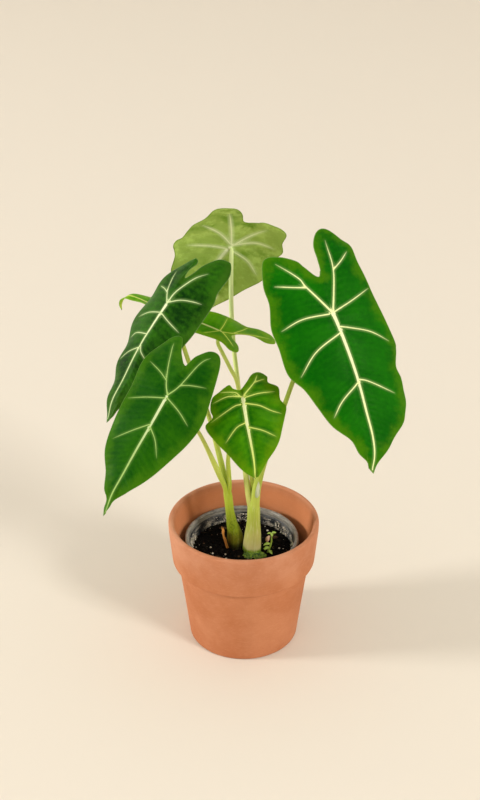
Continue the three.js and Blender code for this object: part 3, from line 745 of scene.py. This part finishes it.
# %% Leaf shapes
CURL_WIDTH = 45.0
LEAVES = {
    "back": {
        "hub": (-11, 70, 368), "heading": 151, "drop": 50, "roll": 52, "length": 95, "lobes": 44,
        "arch": 20, "back": 20, "fold": (-6, -6), "curl": (-10, -16), "rib": 1.7,
        "outline": [(95, -8), (72, 13), (49, 34), (29, 43), (20, 50), (13, 51), (7, 48), (-5, 50),
                    (-16, 51), (-29, 46), (-44, 46), (-54, 43), (-63, 37), (-60, 30), (-50, 21),
                    (-37, 12), (-36, 7), (-40, 3), (-47, -2), (-51, -10), (-54, -18), (-52, -25),
                    (-39, -30), (-27, -38), (-10, -38), (14, -43), (44, -33), (67, -24), (82, -17)],
        "midrib": [(0, 0), (15, 1), (49, -3), (93, -8)],
        "veins": [[(0, 0), (-22, 15), (-46, 32)], [(0, 0), (-16, -4), (-41, -10)],
                  [(-2, 2), (-11, 20), (-17, 42)], [(4, 0), (7, 16), (14, 38)],
                  [(40, -2), (50, 12), (60, 20)], [(-3, -1), (-18, -14), (-25, -29)],
                  [(4, -4), (5, -21), (12, -36)], [(40, -3), (52, -16), (58, -22)]],
    },
    "left": {
        "hub": (-65.7, -2, 345), "heading": -140, "drop": 50, "roll": -18, "length": 115, "lobes": 58,
        "arch": 14, "back": 20, "fold": (-8, -22), "curl": (-8, -26), "rib": 0.9, "side": 0.78,
        "outline": [(116, -2), (108, 2), (99, 4), (79, 12), (40, 27), (26, 31), (8, 35), (-18, 36),
                    (-29, 34), (-47, 34), (-59, 28), (-60, 22), (-56, 15), (-45, 9), (-34, 6), (-27, 2),
                    (-34, 1.5), (-43, 3.5), (-47, 0), (-42, -8), (-34, -16), (-26, -21), (-15, -26),
                    (1, -31), (14, -35), (30, -36), (41, -33), (52, -28), (71, -25), (85, -19),
                    (103, -13), (111, -8)],
        "midrib": [(0, 0), (9, -1), (25, -3), (41, -5), (74, -6), (100, -7), (113, -4)],
        "veins": [[(0, 0), (-10, 1), (-19, 4), (-31, 10), (-40, 17)],
                  [(0, 0), (-10, -8), (-20, -11), (-30, -13)], [(-9, -8), (-11, -14), (-12, -22)],
                  [(-1, 0), (-8, 9), (-12, 19), (-14, 27)], [(9, -1), (13, 9), (17, 22)],
                  [(9, -1), (14, -17), (22, -30)], [(31, -4), (35, -20), (42, -27)],
                  [(41, -5), (47, 0), (52, 8)], [(44, -5), (53, -17), (63, -24)]],
    },
    "front_left": {
        "hub": (-63, -78, 297), "heading": -131, "drop": 42, "roll": -14, "length": 112, "lobes": 52,
        "arch": 12, "back": 22, "fold": (-4, -4), "curl": (-14, -10), "rib": 0.85, "side": 0.72,
        "outline": [(112, -1), (104, 1), (96, 2), (86, 9), (72, 18), (45, 30), (12, 38), (-16, 33),
                    (-42, 25), (-54, 17), (-53, 8), (-42, 2), (-30, -1), (-40, -12), (-54, -21),
                    (-49, -31), (-25, -38), (0, -37), (25, -34), (52, -32), (79, -18), (91, -11),
                    (98, -5), (106, -4)],
        "midrib": [(0, 0), (30, 0), (61, -1), (94, -2), (109, -1)],
        "veins": [[(0, 0), (-12, 5), (-38, 9), (-47, 13)],
                  [(0, 0), (-11, -8), (-38, -21), (-46, -24)], [(-12, 5), (-16, 12), (-21, 25)],
                  [(-11, -8), (-16, -18), (-21, -32)], [(2, 1), (8, 16), (15, 28)],
                  [(3, -1), (9, -17), (16, -32)], [(30, 1), (38, 10), (50, 18)],
                  [(28, -1), (39, -13), (52, -26)]],
    },
    "right": {
        "hub": (73, -45, 356), "heading": -63, "drop": 55, "roll": 8, "length": 137, "lobes": 70,
        "arch": 14, "back": 22, "fold": (-4, -4), "curl": (-14, -14),
        "outline": [(137.5, 3), (131, 9), (124, 17), (107, 38), (96, 45), (87, 50), (76, 50), (66, 49),
                    (55, 46), (42, 52), (33, 53), (7, 45), (-18, 42), (-38, 37), (-56, 38), (-64, 31),
                    (-75, 19), (-73, 10), (-62, 3), (-48, 2), (-33, -2), (-44, -11), (-51, -16),
                    (-59, -28), (-62, -38), (-57, -44), (-38, -49), (-20, -49), (0, -53), (18, -51),
                    (41, -49), (56, -39), (72, -32), (91, -23), (106, -10), (118, -6), (126, -1),
                    (132, 0)],
        "midrib": [(0, 0), (13, 2), (37, 5), (59, 7), (85, 8), (106, 9), (124, 7), (134, 3)],
        "veins": [[(0, 0), (-36, 12), (-64, 15)], [(0, 0), (-26, -15), (-36, -19), (-54, -33)],
                  [(-36, 12), (-43, 22), (-51, 31)], [(-26, -15), (-30, -27), (-35, -40)],
                  [(-1, 2), (-7, 20), (-15, 40)], [(0, -3), (-1, -26), (4, -45)],
                  [(12, 3), (15, 12), (22, 30), (33, 46)], [(17, 2), (28, -22), (45, -39)],
                  [(58, 8), (62, 17), (77, 39)], [(60, 7), (72, -10), (84, -20)]],
    },
    "young": {
        "hub": (-1, -60, 286), "heading": -70, "drop": 52, "roll": 8, "length": 71, "lobes": 34,
        "arch": 22, "back": 75, "fold": (8, -4), "curl": (-22, -34), "rib": 1.5,
        "outline": [(71, -2), (63, 6), (54, 13), (42, 23), (33, 28), (23, 32), (15, 34), (8, 30),
                    (-2, 31), (-8, 24), (-15, 25), (-22, 20), (-21, 13), (-13, 6), (-7, 0), (-9, -6),
                    (-13, -9), (-10, -18), (-6, -26), (5, -30), (12, -29), (17, -36), (22, -36),
                    (31, -31), (45, -23), (63, -10)],
        "midrib": [(0, 0), (18, -1), (34, -1), (53, -1), (70, -2)],
        "veins": [[(0, 0), (-10, 12), (-18, 17)], [(0, 0), (-3, -13), (0, -27)],
                  [(-10, 12), (-12, 22)], [(1, 2), (0, 14), (1, 27)],
                  [(6, 1), (10, 12), (16, 21), (20, 29)], [(26, 0), (31, 11), (38, 21)],
                  [(6, -3), (7, -10), (16, -31)], [(22, -3), (25, -11), (36, -22)],
                  [(-1, -2), (-5, -5), (-7, -11), (-9, -18)]],
    },
    "middle": {
        "hub": (-19.8, 20, 307.5), "heading": 155, "drop": -13, "roll": 0, "length": 113, "lobes": 50,
        "arch": 8, "back": 26, "fold": (10, -4), "curl": (-13, -5), "hook": (0.82, 130),
        "outline": [(113, 0), (94, 3), (78, 5), (55, 12), (32, 20), (8, 22), (-8, 18), (-19, 22),
                    (-25, 18), (-20, 7), (-10, -1), (-13, -9), (-24, -20), (-36, -27), (-42, -38),
                    (-35, -44), (-23, -38), (-12, -30), (2, -34), (14, -33), (34, -24), (58, -20),
                    (82, -15), (100, -4)],
        "midrib": [(0, 0), (55, 0), (90, -3), (111, 0)],
        "veins": [[(0, 0), (-12, 9), (-19, 15)], [(0, 0), (-16, -13), (-36, -37)],
                  [(2, 1), (6, 10), (10, 18)], [(35, 1), (42, 8), (48, 13)], [(2, -2), (4, -14), (8, -31)],
                  [(32, -1), (42, -11), (50, -19)], [(-9, -8), (-12, -18), (-14, -29)]],
    },
}


# %% Carry a flat leaf onto its bent surface
def leaf_points(leaf, x, y, height):
    """Where points of the flat leaf lie, in millimetres: x along, y to the left, height above."""
    heading, drop, roll = np.radians([leaf["heading"], leaf["drop"], leaf["roll"]])
    ahead = np.array([math.cos(heading) * math.cos(drop), math.sin(heading) * math.cos(drop),
                      -math.sin(drop)])
    level = np.array([-math.sin(heading), math.cos(heading), 0])
    left = level * math.cos(roll) + np.cross(ahead, level) * math.sin(roll)
    upper = np.cross(ahead, left)

    bend = np.where(x >= 0, math.radians(leaf["arch"]) / leaf["length"],
                    math.radians(leaf["back"]) / leaf["lobes"])
    share, hook = leaf.get("hook", (2.0, 0.0))
    start = share * leaf["length"]
    turn = bend * np.minimum(x, start)
    out, down = np.sin(turn) / bend, (np.cos(turn) - 1) / bend
    # past the start of its hook the midrib follows a second, tighter arc
    extra = np.maximum(x - start, 0)
    hook_bend = bend + math.radians(hook) / max(leaf["length"] - start, 1.0)
    end = turn + hook_bend * extra
    out = np.where(extra > 0, out + (np.sin(end) - np.sin(turn)) / hook_bend, out)
    down = np.where(extra > 0, down + (np.cos(end) - np.cos(turn)) / hook_bend, down)
    turn = np.where(extra > 0, end, turn)
    normal = np.sin(turn)[:, None] * ahead + np.cos(turn)[:, None] * upper

    sign = np.where(y >= 0, 1.0, -1.0)
    fold = np.radians(np.where(y >= 0, *leaf["fold"]))
    curl = np.radians(np.where(y >= 0, *leaf["curl"])) / CURL_WIDTH
    slope = fold + curl * np.abs(y)
    sideways = sign * (np.sin(slope) - np.sin(fold)) / curl - sign * height * np.sin(slope)
    upwards = (np.cos(fold) - np.cos(slope)) / curl + height * np.cos(slope)
    return (np.array(leaf["hub"]) + out[:, None] * ahead + down[:, None] * upper
            + sideways[:, None] * left + upwards[:, None] * normal)


# %% Cut a flat leaf into cells and give it two skins
def nearest(points, line):
    """For each point, its distance to the closest point of a dense line, and that point's number."""
    tree = kdtree.KDTree(len(line))
    for i, (x, y) in enumerate(line):
        tree.insert((x, y, 0), i)
    tree.balance()
    found = [tree.find((x, y, 0)) for x, y in points]
    return np.array([f[2] for f in found]), np.array([f[1] for f in found])


def flat_blade(outline, cell, cuts):
    """The flat leaf as a closed slab: its lower skin at height 0 and its upper skin at height 1."""
    bm = bmesh.new()
    closed = list(outline) + [outline[0]]
    fine = smooth_line([(x, y, 0) for x, y in closed], 40)[:-1, :2]
    coarse = smooth_line([(x, y, 0) for x, y in closed], 4)[:-1]
    bm.faces.new([bm.verts.new(point) for point in coarse])
    low, high = fine.min(axis=0), fine.max(axis=0)
    for axis, normal in ((0, (1, 0, 0)), (1, (0, 1, 0))):
        first = math.ceil(low[axis] / cell) * cell
        for at in np.arange(first, high[axis], cell):
            bmesh.ops.bisect_plane(bm, geom=bm.verts[:] + bm.edges[:] + bm.faces[:], dist=1e-4,
                                   plane_co=Vector(normal) * at, plane_no=normal)
    bmesh.ops.triangulate(bm, faces=[f for f in bm.faces if len(f.verts) > 4])
    bmesh.ops.subdivide_edges(bm, edges=bm.edges[:], cuts=cuts, use_grid_fill=True)
    rim = [v for v in bm.verts if v.is_boundary]
    _, closest = nearest([(v.co.x, v.co.y) for v in rim], fine)
    for vert, i in zip(rim, closest):
        vert.co.x, vert.co.y = fine[i]
    bmesh.ops.dissolve_degenerate(bm, edges=bm.edges, dist=cell * 0.02)
    lower = bm.faces[:]
    made = bmesh.ops.extrude_face_region(bm, geom=lower, use_keep_orig=True)["geom"]
    bmesh.ops.translate(bm, vec=(0, 0, 1), verts=[v for v in made if isinstance(v, bmesh.types.BMVert)])
    return bm, fine


# %% Veins, ribs and puckers
def vein_lines(leaf):
    """Dense points on all veins, with half the width and the paleness of the vein at each."""
    size = leaf["length"] / 137
    grow = leaf.get("rib", 1.0)
    main = smooth_line([(x, y, 0) for x, y in leaf["midrib"]], 60)[:, :2]
    share = np.linspace(0, 1, len(main))
    points, halves = [main], [grow * (1.45 - 1.12 * share) * (0.35 + 0.65 * size)]
    paleness = [np.ones(len(main))]
    for i, vein in enumerate(leaf["veins"]):
        line = smooth_line([(x, y, 0) for x, y in vein], 60)[:, :2]
        share = np.linspace(0, 1, len(line))
        root = 0.80 if i < 2 else 0.52
        points.append(line)
        halves.append(leaf.get("side", 1.0) * (root - (root - 0.22) * share ** 0.6) * (0.4 + 0.6 * size))
        paleness.append(1 - 0.8 * np.clip((share - 0.72) / 0.28, 0, 1) ** 1.5)
    return np.vstack(points), np.concatenate(halves), np.concatenate(paleness)


def vein_offset(flat, lines, closest):
    """The way from each point to the nearest vein. Its length is read as the exact distance, because
    it passes through zero where a vein crosses a cell of the mesh, and a plain distance doesn't."""
    return np.hstack([lines[closest] - flat[:, :2], np.zeros((len(flat), 1))])


def leaf_blade(leaf, pucker=0.9, wave=1.2, cell=6.0, cuts=5):
    bm, margin = flat_blade(leaf["outline"], cell, cuts)
    flat = np.array([v.co for v in bm.verts])
    x, y, upper = flat[:, 0], flat[:, 1], flat[:, 2] > 0.5
    lines, halves, paleness = vein_lines(leaf)
    away, closest = nearest(flat[:, :2], lines)
    vein = away - halves[closest]
    rim, _ = nearest(flat[:, :2], margin)

    reach = np.clip(0.15 + x / leaf["length"], -0.5, 1.0) * 0.75
    flow = x - reach * np.abs(y)
    inside = np.clip(vein, 0, None)
    swell = pucker * (1 - np.exp(-(inside / 6.5) ** 2)) * (1 - np.exp(-rim / 7))
    ripple = wave * np.exp(-rim / 9) * np.sin(flow / 5.6 + 1.3 * np.sign(y))
    ridge = 0.3 * np.clip(-vein, 0, 1) ** 0.5 * halves[closest]
    body = 0.32 + 0.3 * (1 - np.exp(-rim / 2))
    rib = 0.9 * halves[closest] * np.clip(1 - np.clip(vein + halves[closest], 0, None)
                                          / (1.7 * halves[closest]), 0, 1)
    height = swell + ripple + np.where(upper, body / 2 + ridge, -body / 2 - rib)
    placed = leaf_points(leaf, x, y, height) * MM

    offset = vein_offset(flat, lines, closest)
    to_vein = bm.verts.layers.float_vector.new("to_vein")
    layers = {name: bm.verts.layers.float.new(name)
              for name in ("away", "half", "pale", "rim", "flow", "under")}
    for i, vert in enumerate(bm.verts):
        vert.co = Vector(placed[i])
        vert[to_vein] = offset[i]
        vert[layers["away"]] = away[i]
        vert[layers["half"]] = halves[closest[i]]
        vert[layers["pale"]] = paleness[closest[i]]
        vert[layers["rim"]] = rim[i]
        vert[layers["flow"]] = flow[i]
        vert[layers["under"]] = 0.0 if upper[i] else 1.0
    return bm


# %% [markdown]
# ### Leaf finish
#
# The upper skin is deep green and slightly velvety, lighter towards the margin, and on the young
# and the middle leaf it has painted shade of its puckers, darker in the valleys along the veins and
# lighter between them. The veins are cream with a soft green edge. The underside is a pale matt
# olive. Painted pictures could give this, but the shape already knows how far each point is from a
# vein and from the rim, so the colours are worked out from that and stay sharp at any distance.
# One function makes the material, and each leaf gets its own greens, because young leaves are
# yellower and old ones darker. The middle leaf hangs in the others' shade, and its greens are
# painted lighter than its own, as painted light.


# %% Leaf finish
def leaf_material(name, deep, bright, margin, vein_colour, pale, velvet=0.0, painted_pucker_shade=0.0):
    """Leaf skin, with its greens from the deepest to the margin's, and pale for the underside."""
    gloss = 0.42
    made, tree, bsdf = material(name, specular_ior_level=0.10, specular_tint=rgb(0.45, 0.85, 0.25),
                                sheen_weight=velvet, sheen_roughness=0.45,
                                sheen_tint=rgb(0.45, 0.8, 0.5))
    way = add(tree, "ShaderNodeAttribute", attribute_name="to_vein").outputs["Vector"]
    exact = add(tree, "ShaderNodeVectorMath", {0: way}, operation="LENGTH").outputs["Value"]
    # far from the veins the vector is a poor guide, and the plain distance takes over
    rough_way = minus(tree, attribute(tree, "away"), 0.9)
    vein = minus(tree, math_node(tree, "MAXIMUM", exact, rough_way), attribute(tree, "half"))
    rim, strength = attribute(tree, "rim"), attribute(tree, "pale")
    flow, under = attribute(tree, "flow"), attribute(tree, "under")
    broad = object_noise(tree, 30, detail=5)
    patch = object_noise(tree, 75, detail=6, roughness=0.65)
    fine = object_noise(tree, 260, detail=6, roughness=0.65)
    wander = times(tree, patch, 10.0)
    stripes = math_node(tree, "SINE", plus(tree, times(tree, flow, 1.3), wander))

    light = times(tree, ramp(tree, broad, 0.36, 0.66), 0.5)
    light = plus(tree, light, times(tree, stripes, 0.06))
    light = plus(tree, light, minus(tree, fine, 0.42), clamp=True)
    # painted shade of the puckers: darker in the valleys along the veins and lighter on the swells between
    # them
    if painted_pucker_shade:
        swell = minus(tree, ramp(tree, vein, 0.0, 6.0), 0.55)
        light = plus(tree, light, times(tree, swell, painted_pucker_shade), clamp=True)
    blade = mix(tree, light, deep, bright)
    rimward = plus(tree, rim, times(tree, minus(tree, patch, 0.5), 30.0))
    blade = mix(tree, times(tree, ramp(tree, rimward, 11.0, 0.0), 0.75), blade, margin)
    uneven = plus(tree, vein, times(tree, minus(tree, fine, 0.5), 0.3))
    halo = times(tree, times(tree, ramp(tree, uneven, 2.4, 0.0), 0.42), strength)
    top = mix(tree, halo, blade, mix(tree, 0.35, bright, vein_colour))
    line = times(tree, ramp(tree, uneven, 0.26, -0.06), strength)
    thick = times(tree, ramp(tree, attribute(tree, "half"), 0.55, 1.15), 0.6)
    vein_tone = mix(tree, thick, vein_colour, rgb(0.84, 0.88, 0.62))
    top = mix(tree, line, top, vein_tone)
    edge = times(tree, ramp(tree, rim, 0.8, 0.2), 0.45)
    top = mix(tree, edge, top, mix(tree, 0.3, margin, vein_colour))

    shade = rgb(pale[0] * 0.50, pale[1] * 0.65, pale[2] * 0.3)
    glow = rgb(pale[0] * 1.35, pale[1] * 1.28, pale[2] * 1.5)
    below = mix(tree, ramp(tree, broad, 0.32, 0.5), shade, pale)
    below = mix(tree, ramp(tree, patch, 0.46, 0.66), below, glow)
    soft = times(tree, times(tree, ramp(tree, uneven, 3.4, 0.1), 0.5), strength)
    below = mix(tree, soft, below, vein_colour)
    line = times(tree, ramp(tree, uneven, 0.45, -0.15), strength)
    below = mix(tree, line, below, vein_tone)
    below = mix(tree, times(tree, ramp(tree, rim, 1.3, 0.4), 0.5), below, margin)
    tree.links.new(mix(tree, under, top, below), bsdf.inputs["Base Color"])

    rough = plus(tree, spread(tree, fine, gloss - 0.05, gloss + 0.08), times(tree, under, 0.2))
    tree.links.new(rough, bsdf.inputs["Roughness"])
    first = bump(tree, bsdf, stripes, 0.16, 0.0004)
    bump(tree, bsdf, fine, 0.25, 0.0006, first)
    return made


LEAF_LOOKS = {
    "right": dict(deep=rgb(0.001, 0.090, 0.001), bright=rgb(0.009, 0.165, 0.001),
                  margin=rgb(0.058, 0.185, 0.002), vein_colour=rgb(0.80, 0.88, 0.42),
                  pale=rgb(0.17, 0.26, 0.02)),
    "left": dict(deep=rgb(0.001, 0.024, 0.001), bright=rgb(0.034, 0.165, 0.004),
                 margin=rgb(0.036, 0.12, 0.006), vein_colour=rgb(0.58, 0.70, 0.36),
                 pale=rgb(0.16, 0.25, 0.02), velvet=0.16),
    "front_left": dict(deep=rgb(0.003, 0.058, 0.001), bright=rgb(0.024, 0.130, 0.001),
                       margin=rgb(0.045, 0.150, 0.003), vein_colour=rgb(0.33, 0.50, 0.14),
                       pale=rgb(0.16, 0.25, 0.02), velvet=0.07),
    "young": dict(deep=rgb(0.010, 0.115, 0.001), bright=rgb(0.062, 0.25, 0.001),
                  margin=rgb(0.11, 0.26, 0.002), vein_colour=rgb(0.64, 0.76, 0.17),
                  pale=rgb(0.18, 0.28, 0.02), painted_pucker_shade=0.55),
    "back": dict(deep=rgb(0.02, 0.11, 0.002), bright=rgb(0.06, 0.18, 0.004),
                 margin=rgb(0.10, 0.20, 0.006), vein_colour=rgb(0.82, 0.90, 0.56),
                 pale=rgb(0.34, 0.495, 0.10)),
    # the middle leaf hangs in the others' shade, so its greens and its underside are painted lighter than its
    # own: painted light
    "middle": dict(deep=rgb(0.055, 0.30, 0.001), bright=rgb(0.17, 0.50, 0.010),
                   margin=rgb(0.24, 0.46, 0.012), vein_colour=rgb(0.80, 0.92, 0.16),
                   pale=rgb(0.12, 0.44, 0.006), painted_pucker_shade=0.3),
}
PUCKERS = {"young": 1.9, "right": 1.0}
WAVES = {"young": 2.1, "middle": 0.8}
for name, leaf in LEAVES.items():
    shape = leaf_blade(leaf, pucker=PUCKERS.get(name, 0.7), wave=WAVES.get(name, 1.2))
    blade = finish_piece(f"{name}_leaf", shape, leaf_material(f"{name}_leaf_skin", **LEAF_LOOKS[name]),
                         [f"leaf_{name}"])
    low, high = node_box(f"leaf_{name}")
    print("   CAD size", [round(d / MM) for d in high - low],
          "made", [round(d / MM) for d in blade.dimensions])

# %% [markdown]
# ## Small things at the foot of the plants
#
# Old alocasia leaves leave papery sheaths behind. Here one is dry and orange-brown and leans
# away from the left stem, and one is a thin pale skin on the right. Both are small rolled
# leaves, so the leaf function makes them too, with no veins. Moss has grown on the wet side of
# the right stem: a low mound set with hundreds of fine shoots, because a bumpy skin alone has a
# smooth edge and moss does not. A weed seedling stands beside it, with its husk close by.

# %% Sheaths
SHEATHS = {
    "dry_sheath": {
        "hub": (-15.8, -3.4, 94.4), "heading": 196, "drop": -72, "roll": 10, "length": 24, "lobes": 10,
        "arch": -12, "back": 5, "fold": (24, 24), "curl": (30, 30),
        "outline": [(25, 2.6), (21, 3.4), (16, 2.2), (11, 3.0), (6, 2.4), (0, 2.0), (0, -2), (6, -2.8),
                    (12, -1.8), (16, -3.4), (22, -4.4), (19, -0.6), (21, 0.8)],
        "midrib": [(0, 0), (23, 0)], "veins": []},
    "pale_sheath": {
        "hub": (12.6, -13.2, 157), "heading": -60, "drop": -83, "roll": 0, "length": 17, "lobes": 10,
        "arch": -8, "back": 5, "fold": (12, 12), "curl": (60, 60),
        "outline": [(17, 0.5), (12, 1.8), (5, 2.6), (0, 2), (0, -2), (6, -2.4), (12, -1.2)],
        "midrib": [(0, 0), (16, 0)], "veins": []},
}


def dry_skin_material(name, dark, light):
    made, tree, bsdf = material(name, roughness=0.7, specular_ior_level=0.3)
    streak = object_noise(tree, 500, detail=5, stretch=(1, 1, 0.15))
    tree.links.new(mix(tree, ramp(tree, streak, 0.35, 0.65), dark, light), bsdf.inputs["Base Color"])
    bump(tree, bsdf, streak, 0.6, 0.0006)
    return made


dry_skin = dry_skin_material("dry_skin", rgb(0.42, 0.15, 0.018), rgb(0.80, 0.38, 0.09))
pale_skin = dry_skin_material("pale_skin", rgb(0.42, 0.50, 0.28), rgb(0.66, 0.72, 0.52))
for name, finish in (("dry_sheath", dry_skin), ("pale_sheath", pale_skin)):
    finish_piece(f"{name}_skin", leaf_blade(SHEATHS[name], pucker=0.2, wave=0.25, cell=1.5, cuts=2),
                 finish, [name])


# %% Moss
def tuft_field(node, count, seed, length, width):
    """Hundreds of fine pointed shoots that stand on a low mound."""
    random.seed(seed)
    low, high = node_box(node)
    centre, half = (low + high) / 2, (high - low) / 2
    bm = bmesh.new()
    bmesh.ops.create_icosphere(bm, subdivisions=4, radius=1.0)
    for vert in bm.verts:
        lumpy = 1 + 0.22 * noise.noise(vert.co * 3.0) + 0.1 * noise.noise(vert.co * 8.0)
        vert.co = Vector((centre.x + vert.co.x * half.x * 0.95 * lumpy,
                          centre.y + vert.co.y * half.y * 0.9 * lumpy,
                          max(low.z - 0.4 * MM, low.z + vert.co.z * half.z * 1.5 * lumpy)))
    for _ in range(count):
        angle, reach = random.uniform(0, 6.283), math.sqrt(random.random()) * 1.04
        x = centre.x + half.x * reach * math.cos(angle)
        y = centre.y + half.y * reach * math.sin(angle)
        z = low.z + half.z * 1.45 * math.sqrt(max(0.0, 1 - min(reach, 1) ** 2))
        tilt = Matrix.Rotation(random.uniform(-0.7, 0.7), 4, "X")
        tilt = tilt @ Matrix.Rotation(random.uniform(-0.7, 0.7), 4, "Y")
        tall = length * random.uniform(0.5, 1.2)
        place = Matrix.Translation((x, y, z)) @ tilt @ Matrix.Translation((0, 0, tall * 0.35))
        bmesh.ops.create_cone(bm, segments=4, radius1=width, radius2=width * 0.15, depth=tall, matrix=place,
                              cap_ends=True)
    return bm


moss_skin, tree, bsdf = material("moss_green", roughness=0.9, sheen_weight=0.3)
moss_shade = object_noise(tree, 480, detail=4)
moss_colour = mix(tree, ramp(tree, moss_shade, 0.35, 0.62), rgb(0.03, 0.10, 0.003), rgb(0.30, 0.46, 0.03))
tree.links.new(moss_colour, bsdf.inputs["Base Color"])
finish_piece("moss", tuft_field("moss_patch", 900, 5, 2.2 * MM, 0.32 * MM), moss_skin,
             ["moss_patch"])


# %% Seedling and husk
def little_leaf(bm, base, heading, drop, length, width):
    """A small pointed leaf of a seedling, as a closed sheet with a folded middle."""
    shape = {
        "hub": base, "heading": heading, "drop": drop, "roll": 0, "length": length, "lobes": 2.0,
        "arch": 40, "back": 5, "fold": (14, 14), "curl": (30, 30),
        "outline": [(length, 0), (length * 0.72, width * 0.34), (length * 0.4, width * 0.5),
                    (length * 0.1, width * 0.24), (0, 0.01), (length * 0.1, -width * 0.24),
                    (length * 0.4, -width * 0.5), (length * 0.72, -width * 0.34)],
        "midrib": [(0, 0), (length * 0.9, 0)], "veins": [],
    }
    leaf = leaf_blade(shape, pucker=0.15, wave=0.1, cell=1.0, cuts=1)
    sheet = bpy.data.meshes.new("little_leaf")
    leaf.to_mesh(sheet)
    leaf.free()
    bm.from_mesh(sheet)
    bpy.data.meshes.remove(sheet)


SEED_FOOT = SOIL_TOP + 0.35
plant = tube([(22.0, -8.9, SEED_FOOT - 2), (25.6, -8.6, SEED_FOOT + 9), (25.8, -8, SEED_FOOT + 20)],
             [1.0, 0.8, 0.6], sides=12, steps=24)
for heading, drop, length, width in ((8, -24, 4.6, 3.2), (188, -16, 4.4, 3.0), (-80, 10, 3.8, 2.8)):
    little_leaf(plant, (25.8, -8, SEED_FOOT + 19.8), heading, drop, length, width)
for heading, base, length, width in ((196, (25.2, -8.6, SEED_FOOT + 8.5), 7.5, 4.6),
                                     (-140, (24.0, -8.8, SEED_FOOT + 5), 6.5, 4.4),
                                     (176, (23.4, -8.8, SEED_FOOT + 3), 5.5, 3.8),
                                     (-60, (23.2, -9.0, SEED_FOOT + 1.5), 7.0, 3.4)):
    little_leaf(plant, base, heading, -14, length, width)
finish_piece("weed_seedling", plant, leaf_material(
    "seedling_skin", rgb(0.09, 0.22, 0.01), rgb(0.26, 0.45, 0.03), rgb(0.35, 0.5, 0.06),
    rgb(0.45, 0.6, 0.2), rgb(0.22, 0.36, 0.04)), ["seedling"])

husk, husk_centre, _ = ball_in("seed_husk")
for vert in husk.verts:
    away = vert.co - husk_centre
    vert.co = husk_centre + Vector((away.x * 0.8 + away.z * 0.35, away.y, away.z * 1.2)) * (
        1 + 0.30 * noise.noise(away / MM * 0.55) + 0.16 * noise.noise(away / MM * 1.5))
finish_piece("husk", husk, dry_skin_material("husk_skin", rgb(0.36, 0.20, 0.11), rgb(0.68, 0.48, 0.33)),
             ["seed_husk"])
